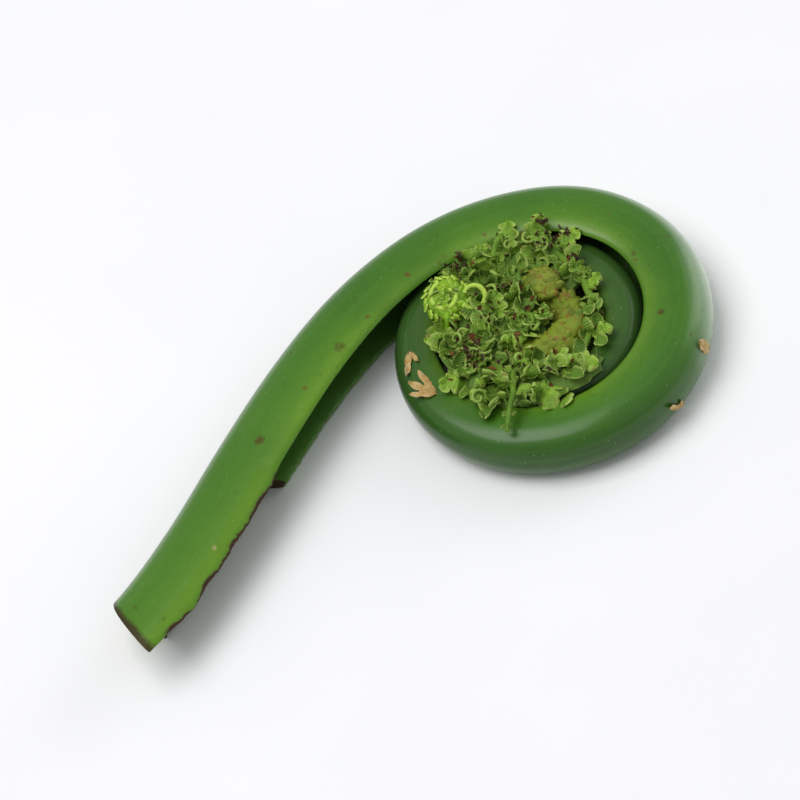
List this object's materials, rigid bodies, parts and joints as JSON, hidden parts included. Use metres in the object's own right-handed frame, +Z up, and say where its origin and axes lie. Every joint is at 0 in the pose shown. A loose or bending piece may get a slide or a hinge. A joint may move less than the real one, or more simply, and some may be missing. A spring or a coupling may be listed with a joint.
{
  "type": "ostrich fern fiddlehead",
  "caption": "Picked ostrich fern fiddlehead lying flat: a tapered, channelled green stalk that winds into a coil filled with curled young leaflets.",
  "frame": {"origin": "middle of the bounding box, on the surface the fiddlehead lies on", "axes": "+X along the longest extent, from the cut end to the coil; +Z up, through the flat of the coil"},
  "size_m": [0.078, 0.049, 0.0103],
  "materials": {
    "stalk_skin": "smooth, waxy green plant skin with a soft sheen",
    "tip_skin": "satin yellow-olive young leaflets pressed together",
    "leaflet": "soft green leaf, slightly rough",
    "young_leaflet": "soft pale lime leaf",
    "dry_scale": "dry, papery tan scale"
  },
  "bodies": {
    "root": {"stalk": "stalk_skin", "frond_tip": "tip_skin", "pinnae_upper": "leaflet", "pinnae_lower": "leaflet", "young_pinna": "young_leaflet", "paper_scale_1": "dry_scale", "paper_scale_2": "dry_scale", "paper_scale_3": "dry_scale", "paper_scale_4": "dry_scale"}
  },
  "joints": []
}
